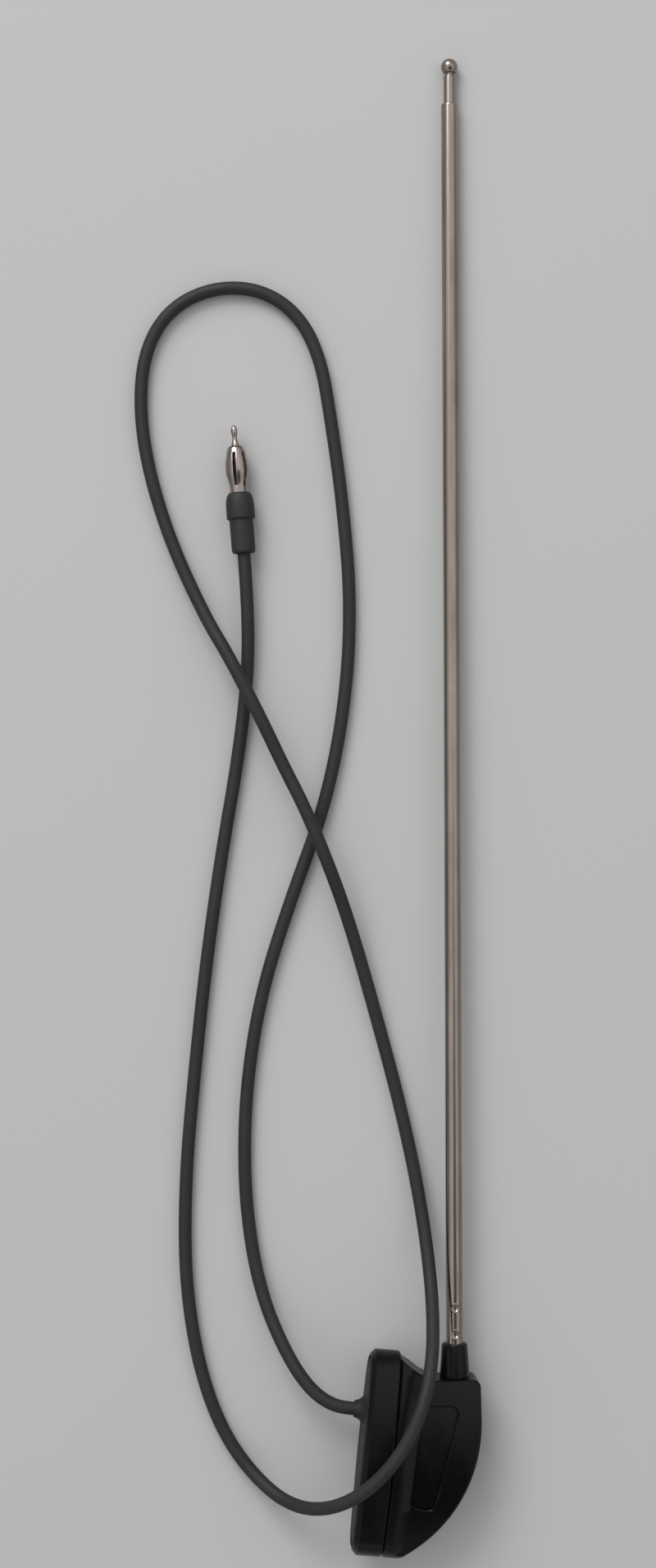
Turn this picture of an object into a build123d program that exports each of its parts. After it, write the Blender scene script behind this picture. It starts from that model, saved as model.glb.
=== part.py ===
"""Telescopic side-mount truck antenna, lying on a table with its lead and plug.

Millimetres. The antenna is drawn in its base frame: x leaves the mounting face, y runs along the
oval base towards the mast tip, z is the side that ends up on top. The pivot axis of the mast holder
is x, through the origin, and x = 0 is the parting plane between base and holder. At the end the whole
antenna is laid on its side on the table, z = 0, and the lead is routed over the table.
"""
from build123d import *
import os
from math import asin, atan, cos, degrees, pi, radians, sin, sqrt, tan

# Oval outline shared by base and holder, made of four tangent arcs
oval_length = 82.0
oval_width = 28.0
oval_end_radius = 10.3
pivot_from_end = 20.0

# Base moulding
base_depth = 11.6
base_wall = 2.4
base_hollow = 8.2
base_rim_bevel = 1.7
base_front_round = 0.9
rib_thickness = 1.8
rib_pitch = 13.0
screw_from_end = 4.5
screw_hole = 3.8
screw_head = 7.0
screw_boss = 8.0

# Gasket and cable gland in the mounting face
gasket_depth = 3.0
gasket_proud = 0.5
gasket_gap = 0.1
gland_drop = 4.4
gland_root = 12.3
gland_neck = 7.0
gland_reach = 4.1
gland_flange = 15.0
gland_flange_depth = 1.6

# Pivot between base and holder
parting_gap = 0.4
running_gap = 0.1
seat_gap = 0.05
sleeve_outer = 9.0
sleeve_inner = 6.0
sleeve_head = 12.6
sleeve_head_depth = 1.6
sleeve_bevel = 0.5
sleeve_proud = 0.6
friction_disc_outer = 14.6
friction_disc_depth = 1.2
spring_washer_outer = 13.6
spring_washer_depth = 0.7
spring_washer_dish = 0.5
pivot_nut_flats = 13.0
pivot_nut_depth = 4.0
contact_pin_diameter = 2.0
contact_head_diameter = 3.6
contact_head_depth = 1.2
contact_head_seat = 0.4
contact_proud = 1.4
contact_tail = 1.8
core_diameter = 1.4
core_gap = 0.6
core_bend = 0.84
stop_radius = 9.0
stop_pin_diameter = 2.2
stop_pin_depth = 4.2
stop_slot_depth = 2.0
swing = 90.0

# Mast holder moulding, drawn square to the mast
mast_lean = 6.0
mast_offset = 23.9
holder_top = 9.4
holder_back = 9.6
holder_corner = 3.0
holder_edge_round = 1.2
holder_floor = 3.0
flange_depth = 4.6
shoulder_run = 3.4
shoulder_drop = 1.9
flange_bevel = 0.6
flange_top = 19.3
neck_top_reach = 9.6
neck_top_height = 12.0
neck_foot_reach = 14.9
tail_start = -6.0
tail_clear = 0.76
tail_turn = 3.9

# Side panel of the holder: recess, cover and the chamber behind it
panel_top = -0.5
panel_top_left = 10.6
panel_top_right = 24.8
panel_foot_left = 5.0
panel_foot_right = 13.8
panel_foot = -41.5
panel_foot_slope = 1.6
panel_corner = 3.0
panel_recess = 1.2
panel_rim_bevel = 0.6
cover_depth = 1.5
cover_gap = 0.15
cover_ledge = 1.6
chamber_back = 6.0
chamber_play = 2.6
chamber_wall = 1.0
chamber_step = 2.0

# Mast foot in the holder
socket_depth = 15.4
socket_floor = 2.0
insulator_outer = 11.0
insulator_floor = 1.0
foot_stud = 4.0
foot_stud_reach = 14.0
foot_stud_bevel = 0.4
foot_nut_flats = 7.0
foot_nut_depth = 3.2
foot_chamber = 10.4
foot_chamber_depth = 12.0
contact_leaf = 0.6
contact_leaf_width = 3.6
contact_eye = 8.0
collar_height = 13.2
collar_foot = 12.0
collar_tip = 10.2
collar_bevel = 0.5

# Telescopic mast, heights measured along the mast from the pivot
outer_diameter = 6.7
outer_wall = 0.4
outer_top = 522.0
middle_room = 0.55
middle_wall = 0.4
middle_show = 11.5
middle_foot = 60.0
rod_room = 0.5
rod_show = 1.3
rod_setback = 12.0
ball_diameter = 6.8
ball_height = 5.7
ball_seat = 3.2
slide_gap = 0.12
lip_depth = 0.9
lip_round = 0.8
lip_share = 0.8
sleeve_length = 12.0
sleeve_split = 0.8
foot_plug_top = 44.0
foot_plug_bevel = 0.6
crimp_heights = (26.6, 37.1)
crimp_radius = 2.0
crimp_depth = 0.6

# Plug on the far end of the lead, distances from the lead's end in the sunk mouth of the boot
boot_entry = 7.4
boot_entry_depth = 2.0
boot_entry_lip = 0.4
boot_tail = 9.6
boot_tail_round = 1.8
boot_tail_length = 11.6
boot_body = 11.5
boot_body_length = 10.8
boot_crown = 7.6
boot_shoulder = 6.0
boot_step_round = 0.7
barrel_waist = 7.2
barrel_bulge = 9.6
barrel_tip = 6.4
barrel_tip_steepness = 3.0
barrel_neck = 2.4
barrel_bulge_share = 0.5
barrel_length = 18.2
barrel_wall = 0.5
barrel_grip = 6.0
barrel_slots = 6
barrel_slot_turn = -11.0
barrel_slot_width = 1.4
barrel_slot_start = 2.6
barrel_slot_end = 2.2
insulator_gap = 0.5
pin_root = 3.2
pin_waist = 1.9
pin_tip = 2.7
pin_length = 9.2
pin_waist_place = 4.0

# Lead: its route from the gland, as steps from the gland's mouth in x and y, and heights above the table
lead_diameter = 5.3
first_run = 4.6
lead_route = [
    (-9.3, 2.0, 15.5), (-14.0, 4.8, 15.2), (-18.7, 9.1, 14.3), (-23.9, 15.9, 12.5), (-29.9, 26.3, 9.0),
    (-36.5, 41.4, 4.8), (-41.6, 62.2, 2.7), (-44.6, 92.0, 2.7), (-43.6, 128.0, 2.7), (-37.4, 166.0, 2.7),
    (-25.4, 203.5, 2.7), (-11.2, 242.0, 2.7), (-3.2, 284.0, 2.7), (-1.2, 324.0, 2.7), (-4.6, 364.0, 2.7),
    (-9.4, 398.0, 2.7), (-13.6, 422.5, 2.7), (-22.5, 440.0, 2.7), (-37.5, 450.0, 2.7), (-56.0, 451.0, 2.7),
    (-73.0, 443.5, 2.7), (-83.6, 428.5, 2.7), (-87.0, 407.0, 2.7), (-84.2, 380.5, 2.7), (-75.0, 349.5, 2.7),
    (-60.6, 318.0, 6.0), (-50.0, 300.5, 12.8), (-36.6, 274.5, 13.4), (-28.4, 257.0, 11.4),
    (-19.4, 239.6, 13.4), (-8.6, 213.4, 12.6), (-0.8, 190.5, 6.4), (9.0, 156.0, 2.7), (18.8, 119.5, 2.8), (26.0, 86.0, 4.6),
    (30.0, 58.5, 11.0), (31.4, 38.0, 21.0), (30.6, 22.0, 31.0), (27.2, 7.0, 37.0), (20.4, -8.6, 38.6),
    (9.6, -22.6, 38.4), (-3.4, -32.6, 35.0), (-16.6, -38.2, 24.6), (-29.0, -37.6, 12.4), (-41.0, -29.0, 4.6),
    (-51.2, -15.6, 2.7), (-59.2, 2.5, 2.7), (-65.2, 26.0, 2.7), (-68.6, 56.0, 2.7), (-68.0, 94.0, 2.7),
    (-64.6, 132.0, 2.7), (-60.0, 176.0, 2.7), (-53.8, 220.0, 2.7), (-47.2, 258.0, 2.7), (-43.0, 292.0, 3.0),
    (-42.6, 320.0, 5.75), (-44.6, 345.0, 5.75),
]
arc_share = 0.45

# Reach of a cut past the face it opens, and the tolerances for picking edges
overcut = 1.0
touch = 0.01
flank_tolerance = 0.1

# How the antenna lies on the table
mast_yaw = 0.2

# Values that follow from the sizes above
half_length = oval_length / 2
half_width = oval_width / 2
oval_middle = pivot_from_end - half_length
end_centre = half_length - oval_end_radius
side_radius = (end_centre**2 + half_width**2 - oval_end_radius**2) / (2 * (half_width - oval_end_radius))
base_floor = base_depth - base_hollow
mounting_x = -base_depth - gasket_proud
gasket_x = mounting_x + gasket_depth
screw_reach = half_length - screw_from_end
screw_places = (oval_middle + screw_reach, oval_middle - screw_reach)
shoulder_x = parting_gap + flange_depth
trunk_foot = parting_gap + flange_depth / 2
lean = radians(mast_lean)
holder_right = mast_offset + holder_back
side_centre = side_radius - half_width
socket_foot = holder_top - socket_depth
stud_shoulder = socket_foot + insulator_floor
middle_top = outer_top + middle_show
rod_foot = middle_foot + rod_setback
ball_foot = middle_top + rod_show
outer_bore = outer_diameter - 2 * outer_wall
middle_diameter = outer_bore - 2 * middle_room
middle_bore = middle_diameter - 2 * middle_wall
rod_diameter = middle_bore - 2 * rod_room
disc_front = parting_gap - running_gap
nut_x = parting_gap + holder_floor + running_gap + spring_washer_depth + spring_washer_dish
sleeve_front = nut_x + pivot_nut_depth + sleeve_proud
contact_x = sleeve_front + contact_proud
contact_top = contact_x - contact_head_seat + contact_head_depth
chamber_front = contact_x + contact_head_depth + chamber_play
pivot_chamber = pivot_nut_flats / cos(pi / 6) + chamber_play
boot_length = boot_tail_length + boot_body_length
barrel_end = boot_length + barrel_length

# Drawing planes: the oval lies in BASE, the side view of the holder in SIDE, the mast rises along MAST
BASE = Plane(origin=(0, 0, 0), x_dir=(0, 1, 0), z_dir=(1, 0, 0))
SIDE = Plane(origin=(0, 0, 0), x_dir=(cos(lean), sin(lean), 0), z_dir=(0, 0, 1))
MAST = Plane(
    origin=(mast_offset * cos(lean), mast_offset * sin(lean), 0),
    x_dir=(0, 0, 1),
    z_dir=(-sin(lean), cos(lean), 0),
)


def oval(inset=0.0):
    """Oval outline, set inwards by inset, as a face in the plane of the base."""
    reach = half_length - inset
    side = half_width - inset
    tip = oval_end_radius - inset
    slope = sqrt(end_centre**2 + (side_radius - half_width) ** 2)
    joint_y = end_centre + tip * end_centre / slope
    joint_z = tip * (side_radius - half_width) / slope
    edges = [
        ThreePointArc((joint_y, -joint_z), (reach, 0), (joint_y, joint_z)),
        ThreePointArc((joint_y, joint_z), (0, side), (-joint_y, joint_z)),
        ThreePointArc((-joint_y, joint_z), (-reach, 0), (-joint_y, -joint_z)),
        ThreePointArc((-joint_y, -joint_z), (0, -side), (joint_y, -joint_z)),
    ]
    return Pos(oval_middle, 0) * make_face(edges)


def turned(*points):
    """Solid of revolution about Z from a closed run of (radius, height) points."""
    return revolve(make_face(Plane.XZ * Polyline(*points, close=True)), Axis.Z)


def ring(outer, inner, start, end):
    """Plain tube about Z between two heights, given by its diameters."""
    return turned((inner / 2, start), (outer / 2, start), (outer / 2, end), (inner / 2, end))


def rod(diameter, start, end):
    """Plain round bar about Z between two heights."""
    return Pos(0, 0, start) * extrude(Circle(diameter / 2), end - start)


def hex_nut(flats, bore, start, depth):
    """Hexagon nut about Z with both faces chamfered."""
    corner = flats / cos(pi / 6) / 2
    bevel = corner - flats / 2
    blank = Pos(0, 0, start) * extrude(RegularPolygon(flats / 2, 6, major_radius=False), depth)
    rounding = turned(
        (bore / 2, start),
        (flats / 2, start),
        (corner, start + bevel),
        (corner, start + depth - bevel),
        (flats / 2, start + depth),
        (bore / 2, start + depth),
    )
    return blank & rounding


def base_housing():
    """Oval moulding, open at the back, with pivot bore, stop slot, screw bosses and ribs."""
    body = extrude(BASE.offset(-base_depth) * oval(), base_depth)
    body = chamfer(body.edges().group_by(Axis.X)[0], base_rim_bevel)
    body = fillet(body.edges().group_by(Axis.X)[-1], base_front_round)
    body -= extrude(BASE.offset(-base_depth) * oval(base_wall), base_hollow)
    stiffening = Part()
    for place in screw_places:
        stiffening += BASE * Pos(place, 0, 0) * rod(screw_boss, gasket_x, -base_floor / 2)
    for step in (-1, 0, 1):
        rib = Box(-base_floor / 2 - gasket_x, rib_thickness, oval_width)
        middle = (gasket_x - base_floor / 2) / 2
        stiffening += Pos(middle, oval_middle - rib_pitch + step * rib_pitch, 0) * rib
    body += stiffening & extrude(BASE.offset(gasket_x) * oval(base_wall / 2), -gasket_x - base_floor / 2)
    for place in screw_places:
        body -= BASE * Pos(place, 0, 0) * screw_opening()
    body -= BASE * rod(sleeve_outer + 2 * seat_gap, -base_depth, 0)
    seat = disc_front - friction_disc_depth - seat_gap
    body -= BASE * rod(friction_disc_outer + 2 * seat_gap, seat, overcut)
    body -= BASE.offset(-stop_slot_depth) * extrude(stop_slot(), stop_slot_depth + overcut)
    return body


def screw_opening():
    """Countersunk hole for one mounting screw, front face at height 0."""
    sink = (screw_head - screw_hole) / 2
    return turned(
        (0, -2 * base_depth),
        (screw_hole / 2, -2 * base_depth),
        (screw_hole / 2, -sink),
        (screw_head / 2, 0),
        (screw_head / 2, overcut),
        (0, overcut),
    )


def stop_slot():
    """Arc slot that lets the stop pin turn through the holder's swing."""
    width = stop_pin_diameter + 4 * running_gap
    path = CenterArc((0, 0), stop_radius, 180, swing)
    return SlotArc(path, width)


def mounting_gasket():
    """Rubber pad that fills the open back of the base and stands a little proud of its rim."""
    pad = extrude(BASE.offset(mounting_x) * oval(base_wall + gasket_gap), gasket_depth)
    pad = chamfer(pad.edges().group_by(Axis.X)[0], gasket_proud)
    pad -= BASE * Pos(-gland_drop, 0, 0) * rod(gland_root + 2 * seat_gap, -2 * base_depth, 0)
    for place in screw_places:
        pad -= BASE * Pos(place, 0, 0) * rod(screw_hole, -2 * base_depth, 0)
    return pad


def cable_gland():
    """Moulded rubber gland: flange behind the gasket, and a trumpet that narrows to a neck round the lead."""
    back = gasket_x + gland_flange_depth
    mouth = mounting_x - gland_reach
    flare = (gland_root - gland_neck) / 2
    neck = mounting_x - flare
    middle = (gland_root / 2 - flare * sin(pi / 4), neck + flare * cos(pi / 4))
    walls = Polyline(
        (gland_neck / 2, neck),
        (gland_neck / 2, mouth),
        (0, mouth),
        (0, back),
        (gland_flange / 2, back),
        (gland_flange / 2, gasket_x),
        (gland_root / 2, gasket_x),
        (gland_root / 2, mounting_x),
    )
    trumpet = ThreePointArc((gland_root / 2, mounting_x), middle, (gland_neck / 2, neck))
    profile = make_face([Plane.XZ * edge for edge in [*walls.edges(), trumpet]])
    return BASE * Pos(-gland_drop, 0, 0) * revolve(profile, Axis.Z)


def pivot_sleeve():
    """Hollow brass pivot, headed behind the base floor and threaded for the nut."""
    head = -base_floor - sleeve_head_depth
    body = turned(
        (sleeve_inner / 2, head),
        (sleeve_head / 2, head),
        (sleeve_head / 2, -base_floor),
        (sleeve_outer / 2, -base_floor),
        (sleeve_outer / 2, sleeve_front - sleeve_bevel),
        (sleeve_outer / 2 - sleeve_bevel, sleeve_front),
        (sleeve_inner / 2, sleeve_front),
    )
    return BASE * body


def friction_disc():
    """Fibre disc let into the base front, which the holder turns on."""
    bore = sleeve_outer + 2 * seat_gap
    return BASE * ring(friction_disc_outer, bore, disc_front - friction_disc_depth, disc_front)


def spring_washer():
    """Dished spring washer between the holder floor and the pivot nut."""
    start = parting_gap + holder_floor + running_gap
    inner = sleeve_outer / 2 + seat_gap
    outer = spring_washer_outer / 2
    body = turned(
        (inner, start + spring_washer_dish),
        (outer, start),
        (outer, start + spring_washer_depth),
        (inner, start + spring_washer_dish + spring_washer_depth),
    )
    return BASE * body


def pivot_nut():
    """Hexagon nut that holds the holder on the pivot sleeve."""
    return BASE * hex_nut(pivot_nut_flats, sleeve_outer, nut_x, pivot_nut_depth)


def pivot_insulator():
    """Nylon tube inside the pivot sleeve, which carries the contact pin."""
    start = -base_floor - sleeve_head_depth - contact_head_seat
    return BASE * ring(sleeve_inner, contact_pin_diameter, start, contact_x - contact_head_seat)


def contact_pin():
    """Brass pin on the pivot axis with a domed head, which passes the signal through the pivot."""
    tail = -base_floor - sleeve_head_depth - contact_tail
    pin = rod(contact_pin_diameter, tail, contact_x)
    head = rod(contact_head_diameter, contact_x - contact_head_seat, contact_top)
    head = fillet(head.edges().group_by(Axis.Z)[-1], contact_head_depth / 2)
    return BASE * (pin + head)


def core_lead():
    """Inner conductor of the lead, from the gland to the tail of the contact pin."""
    radius = core_diameter / 2
    start = gasket_x + gland_flange_depth
    bend = -base_floor - sleeve_head_depth - radius - core_gap
    path = FilletPolyline(
        (start, -gland_drop, 0),
        (bend, -gland_drop, 0),
        (bend, -contact_pin_diameter / 2, 0),
        radius=core_bend,
    )
    section = Plane(origin=(start, -gland_drop, 0), z_dir=(1, 0, 0)) * Circle(radius)
    return sweep(section, path)


def flank(inset=0.0):
    """Face between the two flanks of the holder's trunk, concentric with the oval's sides."""
    radius = side_radius - shoulder_drop - inset
    end = half_length + shoulder_drop
    end_height = sqrt(radius**2 - end**2) - side_centre
    crown = radius - side_centre
    edges = [
        ThreePointArc((-end, end_height), (0, crown), (end, end_height)),
        Line((end, end_height), (end, -end_height)),
        ThreePointArc((end, -end_height), (0, -crown), (-end, -end_height)),
        Line((-end, -end_height), (-end, end_height)),
    ]
    return Pos(oval_middle, 0) * make_face(edges)


def trunk(inset=0.0):
    """Prism between the holder's flanks, rooted in the flange and set inwards by inset."""
    return extrude(BASE.offset(trunk_foot) * flank(inset), 2 * holder_right)


def holder_flange():
    """Oval flange against the base with a sloped shoulder down to the trunk."""
    flange = extrude(BASE.offset(parting_gap) * oval(), flange_depth + shoulder_run)
    flange = chamfer(flange.edges().group_by(Axis.X)[0], flange_bevel)
    back = flange.faces().sort_by(Axis.X)[-1]
    return chamfer(back.edges(), shoulder_drop, shoulder_run, reference=back)


def holder_side():
    """Side view of the holder: sloped neck, square top, straight back and long round tail."""
    left = -oval_width
    tip = SIDE.to_local_coords(Vector(shoulder_x, oval_middle - half_length, 0))
    reach = holder_right - tip.X - tail_clear
    drop = tail_start - tip.Y
    radius = (reach**2 + drop**2) / (2 * reach)
    sweep_angle = degrees(asin(drop / radius)) + tail_turn
    tail = CenterArc((holder_right - radius, tail_start), radius, 0, -sweep_angle)
    foot = tail @ 1
    slope = (flange_top - neck_top_height) / neck_top_reach
    walls = Polyline(
        (foot.X, foot.Y),
        (left, foot.Y),
        (left, flange_top - slope * left),
        (neck_top_reach, neck_top_height),
        (neck_foot_reach, holder_top),
        (holder_right, holder_top),
        (holder_right, tail_start),
    )
    face = make_face([*walls.edges(), tail])
    corner = face.vertices().sort_by_distance((holder_right, holder_top, 0))[0]
    return fillet(corner, holder_corner)


def panel(inset=0.0):
    """Outline of the side panel, narrowing towards the tail, set inwards by inset."""
    corners = Polygon(
        (panel_top_left, panel_top),
        (panel_foot_left, panel_foot + panel_foot_slope),
        (panel_foot_right, panel_foot),
        (panel_top_right, panel_top),
        align=None,
    )
    rounded = fillet(corners.vertices(), panel_corner)
    if inset:
        rounded = offset(rounded, -inset)
    return rounded


def chamber():
    """Outline of the terminal chamber behind the panel cover, clear of the mast socket."""
    foot = socket_foot - socket_floor
    left = panel_foot_left + cover_ledge + chamber_wall
    side = mast_offset - insulator_outer / 2 - chamber_step
    return Polygon(
        (panel_top_left + chamber_wall, foot + chamber_step),
        (left, panel_foot + 2 * cover_ledge + panel_foot_slope),
        (panel_foot_right - cover_ledge - chamber_wall, panel_foot + 2 * cover_ledge),
        (panel_top_right - 2 * cover_ledge - chamber_wall, foot),
        (side, foot),
        (side, foot + chamber_step),
        align=None,
    )


def mast_holder():
    """Holder moulding with mast socket, pivot bore, terminal chamber and side panels."""
    side_view = extrude(SIDE * holder_side(), oval_width, both=True)
    outline = extrude(BASE.offset(parting_gap) * oval(), 2 * holder_right)
    body = (rounded_rim(trunk() & side_view) & outline) + (holder_flange() & side_view)
    body = panel_recesses(body)
    body -= extrude(SIDE * panel(), oval_width) - trunk(panel_recess + cover_depth)
    body -= extrude(SIDE.offset(-chamber_back) * chamber(), oval_width)
    floor_x = parting_gap + holder_floor
    body -= BASE * rod(sleeve_outer + 2 * running_gap, 0, floor_x + overcut)
    body -= BASE * rod(pivot_chamber, floor_x, chamber_front)
    body -= MAST * rod(insulator_outer + 2 * seat_gap, socket_foot, holder_top + overcut)
    chamber_top = socket_foot - socket_floor
    body -= MAST * rod(foot_stud + 4 * seat_gap, chamber_top - overcut, socket_foot + overcut)
    body -= MAST * rod(foot_chamber, chamber_top - foot_chamber_depth, chamber_top)
    body -= stop_pin_shape(seat_gap)
    return body


def panel_recesses(blank):
    """Holder blank with a recess for the panel in each flank, bevelled at its rim."""
    recess = extrude(SIDE * panel(), oval_width, both=True) - trunk(panel_recess)
    body = blank - recess
    rims = new_edges(blank, recess, combined=body).filter_by(on_flank)
    return chamfer(rims, panel_rim_bevel)


def on_flank(edge):
    """Whether the middle of an edge lies in one of the holder's flanks."""
    place = edge.center()
    flank_height = sqrt((side_radius - shoulder_drop) ** 2 - (place.Y - oval_middle) ** 2) - side_centre
    return abs(abs(place.Z) - flank_height) < flank_tolerance


def rounded_rim(body):
    """Trunk with the edges rounded where its side view meets its flanks."""
    flanks = body.faces().filter_by(lambda face: abs(face.normal_at().Z) > 0.9)
    rims = ShapeList()
    for face in flanks:
        rims += face.edges().filter_by(lambda edge: edge.center().X > trunk_foot + touch)
    return fillet(rims, holder_edge_round)


def access_cover():
    """Snap-in cover that follows the flank at the bottom of the side panel."""
    plate = extrude(SIDE * panel(cover_gap), oval_width) & trunk(panel_recess)
    return plate - trunk(panel_recess + cover_depth)


def stop_pin_shape(clearance=0.0):
    """Steel pin in the holder floor that runs in the base's stop slot, or the bore for it."""
    start = -stop_slot_depth + 2 * running_gap
    pin = rod(stop_pin_diameter + 2 * clearance, start, start + stop_pin_depth)
    return BASE * Pos(-stop_radius, 0, 0) * pin


def mast_insulator():
    """Nylon cup in the holder's socket that keeps the mast off the moulding."""
    body = rod(insulator_outer, socket_foot, holder_top)
    body -= rod(outer_diameter + 2 * seat_gap, stud_shoulder, holder_top + overcut)
    body -= rod(foot_stud + 2 * seat_gap, socket_foot - overcut, stud_shoulder + overcut)
    return MAST * body


def mast_collar():
    """Tapered black sleeve over the mast foot."""
    top = holder_top + collar_height
    body = turned(
        (outer_diameter / 2 + seat_gap, holder_top),
        (collar_foot / 2, holder_top),
        (collar_tip / 2, top - collar_bevel),
        (collar_tip / 2 - collar_bevel, top),
        (outer_diameter / 2 + seat_gap, top),
    )
    return MAST * body


def crimps(radius):
    """Spheres of one radius at the two punched crimps on the upper side of the mast foot."""
    reach = outer_diameter / 2 + crimp_radius - crimp_depth
    balls = Part()
    for height in crimp_heights:
        balls += Pos(reach, 0, height) * Sphere(radius)
    return balls


def lipped_tube(diameter, wall, mouth, foot, top):
    """Tube about Z with its upper end rolled in to a mouth, both given as diameters."""
    body = turned(
        (diameter / 2 - wall, foot),
        (diameter / 2, foot),
        (diameter / 2, top),
        (mouth / 2, top),
        (mouth / 2, top - lip_depth),
        (diameter / 2 - wall, top - lip_depth - wall),
    )
    rim = body.edges().filter_by(GeomType.CIRCLE).group_by(Axis.Z)[-1].sort_by(SortBy.RADIUS)[-1]
    reach = (diameter - mouth) / 2
    return fillet(rim, min(lip_round, lip_share * reach))


def outer_tube():
    """Lowest and widest mast tube, crimped on the foot plug and rolled in at its mouth."""
    mouth = middle_diameter + 2 * slide_gap
    tube = lipped_tube(outer_diameter, outer_wall, mouth, stud_shoulder, outer_top)
    dents = crimps(crimp_radius + outer_wall) & rod(outer_bore, stud_shoulder, foot_plug_top)
    return MAST * (tube + dents - crimps(crimp_radius))


def mast_foot():
    """Brass plug crimped into the mast tube, with a threaded stud below."""
    plug = rod(outer_bore - 2 * seat_gap, stud_shoulder, foot_plug_top)
    plug = chamfer(plug.edges().group_by(Axis.Z)[-1], foot_plug_bevel)
    stud = rod(foot_stud, stud_shoulder - foot_stud_reach, stud_shoulder)
    stud = chamfer(stud.edges().group_by(Axis.Z)[0], foot_stud_bevel)
    return MAST * (plug + stud - crimps(crimp_radius + outer_wall + seat_gap))


def contact_spring():
    """Bronze leaf from an eye under the foot nut to the domed head of the contact pin."""
    top = socket_foot - socket_floor
    eye = ring(contact_eye, foot_stud + 2 * seat_gap, top - contact_leaf, top)
    near = contact_top * cos(lean) + running_gap
    far = mast_offset - (contact_eye + foot_stud) / 4
    arm = Pos((near + far) / 2, top - contact_leaf / 2, 0) * Box(far - near, contact_leaf, contact_leaf_width)
    finger_top = contact_head_diameter / 2 - contact_top * sin(lean)
    finger_foot = top - contact_leaf
    finger = Pos(near + contact_leaf / 2, (finger_top + finger_foot) / 2, 0) * Box(
        contact_leaf, finger_top - finger_foot, contact_leaf_width
    )
    return MAST * eye + SIDE * (arm + finger)


def foot_nut():
    """Nut on the mast foot's stud, below the contact eye."""
    top = socket_foot - socket_floor - contact_leaf
    return MAST * hex_nut(foot_nut_flats, foot_stud, top - foot_nut_depth, foot_nut_depth)


def middle_tube():
    """Middle mast tube, showing a short length above the outer one."""
    mouth = rod_diameter + 2 * slide_gap
    return MAST * lipped_tube(middle_diameter, middle_wall, mouth, middle_foot, middle_top)


def split_sleeve(bore, diameter, foot):
    """Split friction sleeve on the foot of a sliding stage, sized to the bore it rubs in."""
    body = ring(bore - 2 * slide_gap, diameter + seat_gap, foot, foot + sleeve_length)
    split = Pos(bore / 2, 0, foot + sleeve_length / 2) * Box(bore, sleeve_split, 2 * sleeve_length)
    return MAST * (body - split)


def middle_sleeve():
    """Friction sleeve of the middle tube."""
    return split_sleeve(outer_bore, middle_diameter, middle_foot)


def rod_sleeve():
    """Friction sleeve of the inner rod."""
    return split_sleeve(middle_bore, rod_diameter, rod_foot)


def inner_rod():
    """Solid top stage of the mast."""
    return MAST * rod(rod_diameter, rod_foot, ball_foot + ball_seat)


def tip_ball():
    """Chromed ball pressed on the end of the rod."""
    middle = ball_foot + ball_height - ball_diameter / 2
    foot = sqrt((ball_diameter / 2) ** 2 - (middle - ball_foot) ** 2)
    outline = [
        ThreePointArc((foot, ball_foot), (ball_diameter / 2, middle), (0, ball_foot + ball_height)),
        Line((0, ball_foot + ball_height), (0, ball_foot + ball_seat)),
        Line((0, ball_foot + ball_seat), (rod_diameter / 2, ball_foot + ball_seat)),
        Line((rod_diameter / 2, ball_foot + ball_seat), (rod_diameter / 2, ball_foot)),
        Line((rod_diameter / 2, ball_foot), (foot, ball_foot)),
    ]
    profile = make_face([Plane.XZ * edge for edge in outline])
    return MAST * revolve(profile, Axis.Z)


def plug_boot():
    """Rubber boot of the plug: rounded body, slimmer tail and sunk cable entry."""
    end = -boot_entry_depth
    mouth = boot_entry / 2
    lip = mouth + boot_entry_lip
    tail = boot_tail / 2
    widest = boot_body / 2
    crown = boot_crown / 2
    shoulder = boot_length - boot_shoulder
    edges = [
        Line((0, 0), (mouth, 0)),
        Line((mouth, 0), (mouth, end)),
        Line((mouth, end), (lip, end)),
        EllipticalCenterArc((lip, end + boot_tail_round), tail - lip, boot_tail_round, 270),
        Line((tail, end + boot_tail_round), (tail, boot_tail_length)),
        Line((tail, boot_tail_length), (widest, boot_tail_length)),
        Line((widest, boot_tail_length), (widest, shoulder)),
        EllipticalCenterArc((crown, shoulder), widest - crown, boot_shoulder),
        Line((crown, boot_length), (0, boot_length)),
        Line((0, boot_length), (0, 0)),
    ]
    body = revolve(make_face([Plane.XZ * edge for edge in edges]), Axis.Z)
    step = body.edges().filter_by(GeomType.CIRCLE).filter_by(lambda edge: edge.radius > widest - touch)
    body = fillet(step.group_by(Axis.Z)[0], boot_step_round)
    return body - rod(barrel_waist + 2 * seat_gap, boot_length - barrel_grip, boot_length + overcut)


def barrel_outline(shrink):
    """Meridian of the barrel from the boot to its tip, moved inwards by shrink."""
    start = boot_length
    return [
        (barrel_waist / 2 - shrink, start + barrel_neck),
        (barrel_bulge / 2 - shrink, start + barrel_bulge_share * barrel_length),
        (barrel_tip / 2 - shrink, barrel_end),
    ]


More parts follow.
